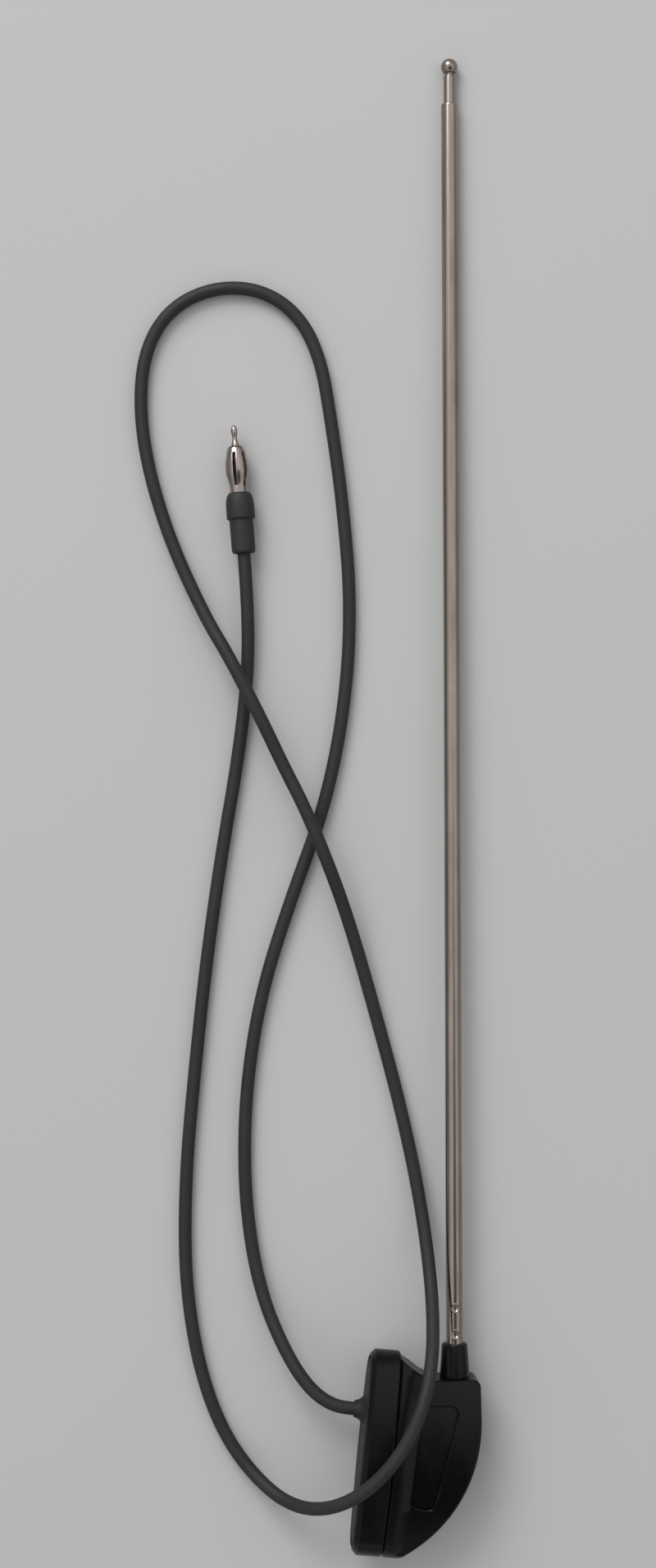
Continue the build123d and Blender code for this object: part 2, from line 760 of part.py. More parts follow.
def plug_barrel():
    """Nickelled spring barrel with bulged fingers between lengthwise slots."""
    grip = boot_length - barrel_grip + seat_gap
    outer = barrel_outline(0)
    inner = barrel_outline(barrel_wall)
    edges = [
        Line((barrel_waist / 2, grip), outer[0]),
        Spline(*outer, tangents=((0, 1), (-1, barrel_tip_steepness))),
        Line(outer[2], inner[2]),
        Spline(*reversed(inner), tangents=((1, -barrel_tip_steepness), (0, -1))),
        Line(inner[0], (barrel_waist / 2 - barrel_wall, grip)),
        Line((barrel_waist / 2 - barrel_wall, grip), (barrel_waist / 2, grip)),
    ]
    body = revolve(make_face([Plane.XZ * edge for edge in edges]), Axis.Z)
    start = boot_length + barrel_slot_start
    length = barrel_end - barrel_slot_end - start
    for turn in range(barrel_slots):
        slot = Box(barrel_bulge, barrel_slot_width, length, align=(Align.MIN, Align.CENTER, Align.MIN))
        body -= Rot(0, 0, barrel_slot_turn + turn * 360 / barrel_slots) * Pos(0, 0, start) * slot
    return body


def plug_insulator():
    """Plastic core that holds the pin in the barrel."""
    core = barrel_tip - 2 * barrel_wall - 2 * seat_gap
    return ring(core, pin_root, boot_length - barrel_grip + seat_gap, barrel_end + insulator_gap)


def plug_pin():
    """Centre pin of the plug with its waisted shank and rounded tip."""
    root = barrel_end + insulator_gap
    tip = barrel_end + pin_length
    edges = [
        Line((0, boot_length), (pin_root / 2, boot_length)),
        Line((pin_root / 2, boot_length), (pin_root / 2, root)),
        Spline(
            (pin_root / 2, root),
            (pin_waist / 2, barrel_end + pin_waist_place),
            (pin_tip / 2, tip - pin_tip),
            (0, tip),
            tangents=((0, 1), (-1, 0)),
        ),
        Line((0, tip), (0, boot_length)),
    ]
    return revolve(make_face([Plane.XZ * edge for edge in edges]), Axis.Z)


def lead_tube(points):
    """Lead swept along straight runs and arcs, each arc as large as its two runs allow."""
    radii = []
    for before, corner, after in zip(points, points[1:], points[2:]):
        turn = (corner - before).get_angle(after - corner)
        shorter = min((corner - before).length, (after - corner).length)
        radii.append(arc_share * shorter / tan(radians(turn) / 2))
    path = FilletPolyline(*points, radius=radii)
    section = Plane(origin=points[0], z_dir=points[1] - points[0]) * Circle(lead_diameter / 2)
    tube = sweep(section, path)
    share = tube.volume / (pi * lead_diameter**2 / 4 * path.length)
    print("lead length", round(path.length, 1), "tube volume over section times length", round(share, 4))
    print("lead radii", [round(radius) for radius in radii])
    return tube


def resting_place(tip, body):
    """Turn that lays the antenna on its flange, its holder's back edge and the ball of its mast."""
    roll = degrees(atan(shoulder_drop / (holder_right - holder_edge_round - shoulder_x)))
    pitch = 0.0
    for _ in range(4):
        turn = Rot(0, 0, mast_yaw - mast_lean) * Rot(-pitch, 0, 0) * Rot(0, roll, 0)
        hover = (turn * tip).bounding_box().min.Z - (turn * body).bounding_box().min.Z
        pitch += degrees(hover / ball_foot)
    return turn


def antenna_pieces():
    """Every piece of the antenna itself, by node name, in the base frame."""
    makers = [
        base_housing, mounting_gasket, cable_gland, pivot_sleeve, friction_disc, spring_washer,
        pivot_nut, pivot_insulator, contact_pin, core_lead, mast_holder, access_cover,
        mast_insulator, mast_collar, mast_foot, contact_spring, foot_nut, outer_tube,
        middle_tube, middle_sleeve, inner_rod, rod_sleeve, tip_ball,
    ]
    pieces = {maker.__name__: maker() for maker in makers}
    pieces["stop_pin"] = stop_pin_shape()
    return pieces


def main():
    """Build every piece, lay the antenna on the table, route the lead and write the parts."""
    pieces = antenna_pieces()
    turn = resting_place(pieces["tip_ball"], pieces["base_housing"] + pieces["mast_holder"])
    boxes = [(turn * piece).bounding_box() for piece in pieces.values()]
    low = Vector(*[min(getattr(box.min, axis) for box in boxes) for axis in "XYZ"])
    high = Vector(*[max(getattr(box.max, axis) for box in boxes) for axis in "XYZ"])
    place = Pos(-(low.X + high.X) / 2, -(low.Y + high.Y) / 2, -low.Z) * turn
    pieces = {name: place * piece for name, piece in pieces.items()}

    frame = Plane(place)
    mouth = frame.from_local_coords(Vector(mounting_x - gland_reach, -gland_drop, 0))
    outwards = -frame.x_dir
    steps = [Vector(mouth.X + x, mouth.Y + y, z) for x, y, z in lead_route]
    points = [mouth, mouth + outwards * first_run] + steps
    pieces["antenna_cable"] = lead_tube(points)

    plug = Plane(origin=points[-1], x_dir=(0, 0, 1), z_dir=points[-1] - points[-2])
    for maker in (plug_boot, plug_barrel, plug_insulator, plug_pin):
        pieces[maker.__name__] = plug * maker()

    screws = sum(screw_places) / 2
    print("mounting face", frame.from_local_coords(Vector(mounting_x, screws, 0)), "along", frame.y_dir)
    print("pivot", frame.origin, "axis", frame.x_dir)
    mast_line = frame.from_local_coords(MAST.origin)
    print("mast", mast_line, "axis", frame.from_local_coords(MAST.origin + MAST.z_dir) - mast_line)
    print("route", [tuple(round(value, 2) for value in point) for point in points])
    os.makedirs("parts", exist_ok=True)
    for name, piece in pieces.items():
        export_step(piece, f"parts/{name}.step")


main()
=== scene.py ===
"""Dress the telescopic truck antenna: finishes, lead, plug, base, holder, mast, table, light and camera.

Metres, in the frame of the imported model: +Y runs along the mast to its tip ball and +Z is up from the table.
Sizes of turned pieces are in millimetres, along the piece's own axis, as in the drawing of the part.
"""

import logging
import math
from dataclasses import dataclass
from enum import Enum
from typing import Any

import bmesh
import bpy
from mathutils import Matrix, Vector


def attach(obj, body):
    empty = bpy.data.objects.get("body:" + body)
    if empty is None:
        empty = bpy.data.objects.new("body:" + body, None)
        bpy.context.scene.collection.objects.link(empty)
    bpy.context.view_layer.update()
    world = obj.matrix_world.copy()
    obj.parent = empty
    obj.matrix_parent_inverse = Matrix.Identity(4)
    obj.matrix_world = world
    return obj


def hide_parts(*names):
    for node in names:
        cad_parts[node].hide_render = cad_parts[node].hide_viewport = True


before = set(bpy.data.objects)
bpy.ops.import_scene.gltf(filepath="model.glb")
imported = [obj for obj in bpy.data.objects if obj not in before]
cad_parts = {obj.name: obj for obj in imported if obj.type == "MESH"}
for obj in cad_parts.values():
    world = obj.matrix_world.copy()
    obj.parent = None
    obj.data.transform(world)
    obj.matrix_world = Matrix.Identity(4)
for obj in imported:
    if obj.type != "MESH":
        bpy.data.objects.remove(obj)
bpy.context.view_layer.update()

LOG = logging.getLogger("antenna")
MM = 0.001
Profile = list[tuple[float, float]]
Triple = tuple[float, float, float]
Stops = tuple[tuple[float, float], ...]


class Body(Enum):
    """Rigid bodies that the pieces ride on."""

    BASE = "base"
    HOLDER = "holder"
    MIDDLE = "middle_stage"
    TOP = "top_stage"


def linear(code: str) -> tuple[float, float, float, float]:
    """Turn an sRGB hex colour into linear light.

    Args:
        code: Six hex digits, with or without a leading hash.

    Returns:
        Linear red, green and blue with an alpha of 1.
    """
    digits = code.lstrip("#")
    channels = []
    for place in (0, 2, 4):
        value = int(digits[place:place + 2], 16) / 255
        channels.append(value / 12.92 if value <= 0.04045 else ((value + 0.055) / 1.055) ** 2.4)
    return channels[0], channels[1], channels[2], 1.0


def add_node(tree: bpy.types.NodeTree, kind: str, inputs: dict[Any, Any], **settings: Any) -> bpy.types.Node:
    """Add one node, set its properties and fill or link its inputs.

    Args:
        tree: Node tree that takes the node.
        kind: Blender's type name of the node.
        inputs: Socket name or number to a constant or to an output socket.
        settings: Properties of the node itself.

    Returns:
        The new node.
    """
    made = tree.nodes.new(kind)
    for name, value in settings.items():
        setattr(made, name, value)
    for key, value in inputs.items():
        if isinstance(value, bpy.types.NodeSocket):
            tree.links.new(value, made.inputs[key])
        else:
            made.inputs[key].default_value = value
    return made


def new_material(name: str) -> tuple[bpy.types.Material, bpy.types.NodeTree, bpy.types.Node]:
    """Start a node material.

    Args:
        name: Common name of the material and its surface.

    Returns:
        The material, its tree and its Principled shader.
    """
    material = bpy.data.materials.new(name)
    material.use_nodes = True
    tree = material.node_tree
    return material, tree, tree.nodes["Principled BSDF"]


def speckle(
    tree: bpy.types.NodeTree, size: Triple, detail: float = 4.0, rough: float = 0.55
) -> bpy.types.NodeSocket:
    """Noise on Object coordinates with its own grain size along each axis.

    Args:
        tree: Node tree that takes the nodes.
        size: Grain size along x, y and z, in millimetres.
        detail: Octaves of the noise.
        rough: Strength of each finer octave.

    Returns:
        The noise value from 0 to 1.
    """
    place = add_node(tree, "ShaderNodeTexCoord", {})
    scale = tuple(1 / (MM * length) for length in size)
    grid = add_node(tree, "ShaderNodeMapping", {"Vector": place.outputs["Object"], "Scale": scale})
    noise = add_node(
        tree,
        "ShaderNodeTexNoise",
        {"Vector": grid.outputs[0], "Scale": 1.0, "Detail": detail, "Roughness": rough},
    )
    return noise.outputs[0]


def spread(
    tree: bpy.types.NodeTree, value: bpy.types.NodeSocket, low: float, high: float, start: float = 0.3, end: float = 0.7
) -> bpy.types.NodeSocket:
    """Map a noise value from its usual span to a span of numbers.

    Args:
        tree: Node tree that takes the node.
        value: Noise output.
        low: Result at the start of the noise span.
        high: Result at its end.
        start: Noise value that gives low.
        end: Noise value that gives high.

    Returns:
        The mapped value.
    """
    made = add_node(
        tree,
        "ShaderNodeMapRange",
        {"Value": value, "From Min": start, "From Max": end, "To Min": low, "To Max": high},
    )
    return made.outputs[0]


def blend_colours(
    tree: bpy.types.NodeTree, share: bpy.types.NodeSocket, first: Any, second: Any
) -> bpy.types.NodeSocket:
    """Mix two colours by a share.

    Args:
        tree: Node tree that takes the node.
        share: Share of the second colour.
        first: Colour or output socket.
        second: Colour or output socket.

    Returns:
        The mixed colour.
    """
    made = add_node(tree, "ShaderNodeMix", {0: share, 6: first, 7: second}, data_type="RGBA")
    return made.outputs[2]


def add_bump(
    tree: bpy.types.NodeTree, bsdf: bpy.types.Node, height: bpy.types.NodeSocket, strength: float, depth: float
) -> None:
    """Let a pattern tilt the surface a little.

    Args:
        tree: Node tree that takes the node.
        bsdf: Shader that the bump acts on.
        height: The pattern.
        strength: Share of the full tilt.
        depth: Height of the pattern, in millimetres.
    """
    bump = add_node(tree, "ShaderNodeBump", {"Strength": strength, "Distance": depth * MM, "Height": height})
    tree.links.new(bump.outputs[0], bsdf.inputs["Normal"])


@dataclass(frozen=True)
class BlackMoulding:
    """Injection-moulded black ABS.

    The eye sees a deep black with a soft gloss that is a little uneven, a very fine mould grain,
    faint greyish rubbed patches and short handling scratches along the mast.
    """

    name: str = "abs_black_moulded"
    dark: str = "#060606"
    rubbed: str = "#101010"
    patch_mm: float = 16.0
    grain_mm: float = 0.5
    scratch_mm: Triple = (0.35, 9.0, 0.35)
    rubbed_share: float = 0.7
    rubbed_span: tuple[float, float] = (0.42, 0.72)
    gloss: tuple[float, float] = (0.24, 0.36)
    scratch_rough: float = 0.08
    scratch_span: tuple[float, float] = (0.62, 0.72)
    bump: float = 0.1
    bump_mm: float = 0.04
    refraction: float = 1.52
    specular: float = 0.19

    def material(self) -> bpy.types.Material:
        """Build the node material.

        Returns:
            The finished material.
        """
        material, tree, bsdf = new_material(self.name)
        patch = speckle(tree, (self.patch_mm, 2 * self.patch_mm, self.patch_mm), 5.0)
        grain = speckle(tree, (self.grain_mm,) * 3, 2.0)
        scratch = speckle(tree, self.scratch_mm, 1.0)
        share = spread(tree, patch, 0.0, self.rubbed_share, *self.rubbed_span)
        colour = blend_colours(tree, share, linear(self.dark), linear(self.rubbed))
        tree.links.new(colour, bsdf.inputs["Base Color"])
        worn = spread(tree, scratch, 0.0, self.scratch_rough, *self.scratch_span)
        gloss = spread(tree, patch, *self.gloss)
        rough = add_node(tree, "ShaderNodeMath", {0: gloss, 1: worn}, operation="ADD")
        tree.links.new(rough.outputs[0], bsdf.inputs["Roughness"])
        add_bump(tree, bsdf, grain, self.bump, self.bump_mm)
        bsdf.inputs["IOR"].default_value = self.refraction
        bsdf.inputs["Specular IOR Level"].default_value = self.specular
        return material


@dataclass(frozen=True)
class SoftRubber:
    """Moulded or extruded rubber or soft PVC.

    The eye sees a matte dark grey, a little dusty in clouds, with a pebbled skin that breaks up the light.
    """

    name: str
    dark: str
    dusty: str
    grain_mm: float
    cloud_mm: Triple = (9.0, 22.0, 9.0)
    cloud_share: float = 0.6
    grain_share: float = 0.5
    roughness: tuple[float, float] = (0.52, 0.7)
    bump: float = 0.3
    bump_mm: float = 0.1
    refraction: float = 1.5
    specular: float = 0.4

    def material(self) -> bpy.types.Material:
        """Build the node material.

        Returns:
            The finished material.
        """
        material, tree, bsdf = new_material(self.name)
        cloud = speckle(tree, self.cloud_mm, 4.0)
        grain = speckle(tree, (self.grain_mm,) * 3, 3.0, 0.6)
        share = add_node(
            tree,
            "ShaderNodeMath",
            {0: spread(tree, cloud, 0.0, self.cloud_share), 1: spread(tree, grain, 0.0, self.grain_share)},
            operation="ADD",
        )
        colour = blend_colours(tree, share.outputs[0], linear(self.dark), linear(self.dusty))
        tree.links.new(colour, bsdf.inputs["Base Color"])
        tree.links.new(spread(tree, cloud, *self.roughness), bsdf.inputs["Roughness"])
        add_bump(tree, bsdf, grain, self.bump, self.bump_mm)
        bsdf.inputs["IOR"].default_value = self.refraction
        bsdf.inputs["Specular IOR Level"].default_value = self.specular
        return material


@dataclass(frozen=True)
class PlatedMetal:
    """Plated or turned metal.

    The eye sees a mirror that is softened by handling: faint marks along the drawing direction,
    dull clouds where fingers push the tubes, and a warm tint where the plating is thin.
    """

    name: str
    bright: str
    dull: str
    streak_mm: Triple
    roughness: tuple[float, float]
    cloud_mm: Triple = (7.0, 34.0, 7.0)
    cloud_share: float = 0.75
    streak_share: float = 0.25
    bump: float = 0.04
    bump_mm: float = 0.03

    def material(self) -> bpy.types.Material:
        """Build the node material.

        Returns:
            The finished material.
        """
        material, tree, bsdf = new_material(self.name)
        streak = speckle(tree, self.streak_mm, 3.0)
        cloud = speckle(tree, self.cloud_mm, 5.0, 0.6)
        tone = add_node(
            tree,
            "ShaderNodeMath",
            {0: spread(tree, cloud, 0.0, self.cloud_share), 1: spread(tree, streak, 0.0, self.streak_share)},
            operation="ADD",
        )
        colour = blend_colours(tree, tone.outputs[0], linear(self.bright), linear(self.dull))
        tree.links.new(colour, bsdf.inputs["Base Color"])
        tree.links.new(spread(tree, cloud, *self.roughness), bsdf.inputs["Roughness"])
        add_bump(tree, bsdf, streak, self.bump, self.bump_mm)
        bsdf.inputs["Metallic"].default_value = 1.0
        return material


@dataclass(frozen=True)
class PlainPolymer:
    """Machined or moulded insulating plastic: an even colour with slight clouding and a soft sheen."""

    name: str
    light: str
    dark: str
    roughness: float = 0.45
    cloud_mm: float = 2.5
    bump: float = 0.1
    bump_mm: float = 0.05

    def material(self) -> bpy.types.Material:
        """Build the node material.

        Returns:
            The finished material.
        """
        material, tree, bsdf = new_material(self.name)
        cloud = speckle(tree, (self.cloud_mm,) * 3, 4.0)
        colour = blend_colours(tree, spread(tree, cloud, 0.0, 1.0), linear(self.light), linear(self.dark))
        tree.links.new(colour, bsdf.inputs["Base Color"])
        add_bump(tree, bsdf, cloud, self.bump, self.bump_mm)
        bsdf.inputs["Roughness"].default_value = self.roughness
        return material


class Finishes:
    """Every finish of the antenna, made once and shared by its pieces."""

    def __init__(self) -> None:
        """Make the materials."""
        self.moulding = BlackMoulding().material()
        self.gasket = SoftRubber("epdm_rubber_moulded", "#0B0B0B", "#171717", 0.5).material()
        self.sheath = SoftRubber("pvc_sheath_extruded", "#161617", "#262627", 0.7).material()
        self.boot = SoftRubber("pvc_boot_moulded", "#191919", "#292929", 0.6).material()
        self.chrome = PlatedMetal(
            "brass_tube_chrome_plated", "#A0968E", "#80766F", (0.5, 40.0, 0.5), (0.16, 0.28)
        ).material()
        self.nickel = PlatedMetal(
            "brass_nickel_plated", "#B9AFAA", "#857B77", (0.4, 6.0, 0.4), (0.14, 0.3)
        ).material()
        self.brass = PlatedMetal(
            "brass_turned", "#C49A4E", "#94702F", (4.0, 0.3, 4.0), (0.22, 0.4)
        ).material()
        self.steel = PlatedMetal(
            "steel_zinc_plated", "#B8B8B6", "#8A8A88", (1.0, 1.0, 1.0), (0.28, 0.45)
        ).material()
        self.nylon = PlainPolymer("nylon_natural_machined", "#E2DDCD", "#CFC8B4").material()
        self.fibre = PlainPolymer("vulcanised_fibre_stamped", "#6E3A28", "#522A1E", 0.7).material()
        self.insulator = PlainPolymer("phenolic_maroon_moulded", "#2E1314", "#1C0B0C").material()


@dataclass(frozen=True)
class Axes:
    """Place of a turned piece: a point on its axis, the axis, and the direction of angle 0."""

    origin: Triple
    axis: Triple
    side: Triple

    def matrix(self) -> Matrix:
        """Transform from the piece's own drawing, with its axis upright, to the row frame.

        Returns:
            The transform.
        """
        upright = Vector(self.axis).normalized()
        across = Vector(self.side)
        across = (across - across.dot(upright) * upright).normalized()
        third = upright.cross(across)
        turn = Matrix((across, third, upright)).transposed().to_4x4()
        return Matrix.Translation(self.origin) @ turn


def rounded(corners: list[Triple], steps: int = 6) -> Profile:
    """Round the corners of a profile.

    Args:
        corners: Radius, height and rounding of each corner, in order.
        steps: Short runs that each rounding is made of.

    Returns:
        The points of the rounded profile.
    """
    points = []
    count = len(corners)
    for number, (radius, height, bend) in enumerate(corners):
        corner = Vector((radius, height))
        if not bend:
            points.append((radius, height))
            continue
        before = Vector(corners[number - 1][:2])
        after = Vector(corners[(number + 1) % count][:2])
        start = corner + (before - corner).normalized() * bend
        end = corner + (after - corner).normalized() * bend
        for step in range(steps + 1):
            share = step / steps
            spot = start * (1 - share) ** 2 + corner * 2 * share * (1 - share) + end * share**2
            points.append((spot.x, spot.y))
    return points


def quarter(centre: tuple[float, float], reach: tuple[float, float], start: float, steps: int = 14) -> Profile:
    """Quarter of an ellipse in a profile, anticlockwise.

    Args:
        centre: Its centre, as radius and height.
        reach: Its half widths in radius and height.
        start: Angle of its first point, in degrees.
        steps: Short runs that it is made of.

    Returns:
        Its points.
    """
    points = []
    for step in range(steps + 1):
        angle = math.radians(start + 90 * step / steps)
        points.append((centre[0] + reach[0] * math.cos(angle), centre[1] + reach[1] * math.sin(angle)))
    return points


def turned(profile: Profile, around: int = 72) -> bmesh.types.BMesh:
    """Turn a closed profile about the upright axis.

    Args:
        profile: Radius and height of each point, in millimetres. Points at radius 0 become poles.
        around: Faces round the axis.

    Returns:
        The turned mesh, in metres, with its axis upright.
    """
    work = bmesh.new()
    rings = []
    for radius, height in profile:
        if radius < 1e-6:
            rings.append([work.verts.new((0.0, 0.0, height * MM))] * around)
            continue
        angles = [2 * math.pi * step / around for step in range(around)]
        rings.append([
            work.verts.new((radius * MM * math.cos(angle), radius * MM * math.sin(angle), height * MM))
            for angle in angles
        ])
    for low, high in zip(rings, rings[1:] + rings[:1]):
        for step in range(around):
            after = (step + 1) % around
            corners = list(dict.fromkeys((low[step], low[after], high[after], high[step])))
            if len(corners) > 2:
                work.faces.new(corners)
    bmesh.ops.recalc_face_normals(work, faces=work.faces)
    return work


def soften(work: bmesh.types.BMesh, crease: float) -> None:
    """Shade a mesh smooth and keep the edges sharp where its faces meet at more than crease degrees."""
    for face in work.faces:
        face.smooth = True
    for edge in work.edges:
        edge.smooth = len(edge.link_faces) == 2 and edge.calc_face_angle(0.0) < math.radians(crease)


def settled(piece: bpy.types.Object) -> None:
    """Turn a piece's modifiers into its plain mesh."""
    graph = bpy.context.evaluated_depsgraph_get()
    mesh = bpy.data.meshes.new_from_object(piece.evaluated_get(graph))
    piece.modifiers.clear()
    piece.data = mesh


def link_piece(name: str, mesh: bpy.types.Mesh, finish: bpy.types.Material) -> bpy.types.Object:
    """Put a mesh in the scene with one finish.

    Args:
        name: Name of the piece.
        mesh: Its mesh.
        finish: Its material.

    Returns:
        The new object.
    """
    mesh.materials.clear()
    mesh.materials.append(finish)
    piece = bpy.data.objects.new(name, mesh)
    bpy.context.scene.collection.objects.link(piece)
    return piece


def stand_for(piece: bpy.types.Object, node: str, body: Body) -> bpy.types.Object:
    """Let a finished piece stand for a solid.

    Args:
        piece: The piece, with its place in its mesh.
        node: Name of the solid.
        body: Body that the piece rides on.

    Returns:
        The piece.
    """
    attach(piece, body.value)
    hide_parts(node)
    LOG.info("%s: %d faces", piece.name, len(piece.data.polygons))
    return piece


def turned_piece(
    node: str, body: Body, work: bmesh.types.BMesh, axes: Axes, finish: bpy.types.Material, crease: float = 28.0
) -> bpy.types.Object:
    """Put a turned mesh in its place as the piece that stands for a solid.

    Args:
        node: Name of the solid.
        body: Body that the piece rides on.
        work: The turned mesh, with its axis upright. It is freed.
        axes: Place of the piece.
        finish: Material of the piece.
        crease: Angle between faces, in degrees, past which an edge stays sharp.

    Returns:
        The piece.
    """
    soften(work, crease)
    mesh = bpy.data.meshes.new(f"{node}_dressed")
    work.to_mesh(mesh)
    work.free()
    mesh.transform(axes.matrix())
    return stand_for(link_piece(f"{node}_dressed", mesh, finish), node, body)


def dressed_copy(node: str, body: Body, finish: bpy.types.Material, crease: float = 32.0) -> bpy.types.Object:
    """Show a solid as a merged copy with smooth curved faces and sharp edges.

    Args:
        node: Name of the solid.
        body: Body that the piece rides on.
        finish: Material of the piece.
        crease: Angle between faces, in degrees, past which an edge stays sharp.

    Returns:
        The piece that stands for the solid.
    """
    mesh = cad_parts[node].data.copy()
    work = bmesh.new()
    work.from_mesh(mesh)
    bmesh.ops.remove_doubles(work, verts=work.verts, dist=0.001 * MM)
    soften(work, crease)
    work.to_mesh(mesh)
    work.free()
    piece = link_piece(f"{node}_dressed", mesh, finish)
    weighted = piece.modifiers.new("weighted", "WEIGHTED_NORMAL")
    weighted.keep_sharp = True
    settled(piece)
    return stand_for(piece, node, body)


@dataclass
class Studio:
    """Table, lights and the camera above the antenna."""

    camera_place: Triple = (-0.035, 0.0079, 1.0)
    field_height: float = 0.6367
    table_grey: str = "#B4B4B4"
    table_lighter: float = 1.02
    table_cloud_mm: float = 160.0
    table_rough: float = 0.9
    table_size: float = 8.0
    table_drop: float = 0.05 * MM
    sky_bands: Stops = ((0.0, 0.25), (0.2, 0.35), (0.5, 0.7), (0.8, 1.0))
    shade_towards: Triple = (0.15, -0.42, 0.895)
    shade_edge: Stops = ((0.85, 1.0), (0.9, 0.62), (0.94, 0.14), (0.97, 0.06))
    sky_strength: float = 1.02
    softbox_place: Triple = (-1.3, 2.6, 2.2)
    softbox_aim: Triple = (-0.02, 0.0, 0.0)
    softbox_size: float = 2.0
    softbox_watts: float = 85.0

    def build(self) -> None:
        """Make the camera, the table and the lights."""
        self.set_camera()
        self.lay_table()
        self.light_sky()
        self.hang_softbox()
        bpy.context.scene.view_settings.view_transform = "Standard"

    def set_camera(self) -> None:
        """Look straight down on the table with the mast upright in the picture."""
        data = bpy.data.cameras.new("camera_above")
        data.sensor_fit = "VERTICAL"
        data.angle = 2 * math.atan(self.field_height / 2 / self.camera_place[2])
        data.clip_start = 0.01
        camera = bpy.data.objects.new("camera_above", data)
        camera.location = self.camera_place
        bpy.context.scene.collection.objects.link(camera)
        bpy.context.scene.camera = camera

    def lay_table(self) -> None:
        """Lay a plain pale table just under the antenna."""
        material, tree, bsdf = new_material("table_matte_paint")
        cloud = speckle(tree, (self.table_cloud_mm,) * 3, 2.0)
        grey = linear(self.table_grey)
        lighter = tuple(min(1.0, channel * self.table_lighter) for channel in grey[:3]) + (1.0,)
        tree.links.new(blend_colours(tree, cloud, grey, lighter), bsdf.inputs["Base Color"])
        bsdf.inputs["Roughness"].default_value = self.table_rough
        mesh = bpy.data.meshes.new("table")
        half = self.table_size / 2
        level = -self.table_drop
        corners = [(-half, -half, level), (half, -half, level), (half, half, level), (-half, half, level)]
        mesh.from_pydata(corners, [], [(0, 1, 2, 3)])
        link_piece("table", mesh, material)

    def light_sky(self) -> None:
        """Light everything from a soft sky, dim near the table and shaded in one patch above the base end."""
        world = bpy.data.worlds.new("studio_sky")
        world.use_nodes = True
        tree = world.node_tree
        ray = add_node(tree, "ShaderNodeTexCoord", {}).outputs["Generated"]
        height = add_node(tree, "ShaderNodeSeparateXYZ", {0: ray})
        level = self.ramp(tree, height.outputs[2], self.sky_bands)
        towards = add_node(tree, "ShaderNodeVectorMath", {0: ray, 1: self.shade_towards}, operation="DOT_PRODUCT")
        half = spread(tree, towards.outputs["Value"], 0.0, 1.0, -1.0, 1.0)
        shade = self.ramp(tree, half, tuple(((place + 1) / 2, grey) for place, grey in self.shade_edge))
        light = add_node(tree, "ShaderNodeMix", {0: 1.0, 6: level, 7: shade}, data_type="RGBA", blend_type="MULTIPLY")
        tree.links.new(light.outputs[2], tree.nodes["Background"].inputs["Color"])
        tree.nodes["Background"].inputs["Strength"].default_value = self.sky_strength
        bpy.context.scene.world = world

    @staticmethod
    def ramp(
        tree: bpy.types.NodeTree, value: bpy.types.NodeSocket, stops: Stops
    ) -> bpy.types.NodeSocket:
        """Map a value to grey levels between stops.

        Args:
            tree: Node tree that takes the node.
            value: Value from 0 to 1.
            stops: Place and level of each stop, in order.

        Returns:
            The grey level.
        """
        made = add_node(tree, "ShaderNodeValToRGB", {0: value})
        elements = made.color_ramp.elements
        for place, _ in stops[1:-1]:
            elements.new(place)
        for element, (place, level) in zip(elements, stops):
            element.position = place
            element.color = (level, level, level, 1.0)
        return made.outputs[0]

    def hang_softbox(self) -> None:
        """Hang one square softbox on the far left, facing the antenna."""
        data = bpy.data.lights.new("softbox_far_left", "AREA")
        data.size = self.softbox_size
        data.energy = self.softbox_watts
        lamp = bpy.data.objects.new("softbox_far_left", data)
        lamp.location = self.softbox_place
        facing = Vector(self.softbox_aim) - Vector(self.softbox_place)
        lamp.rotation_euler = facing.to_track_quat("-Z", "Y").to_euler()
        bpy.context.scene.collection.objects.link(lamp)


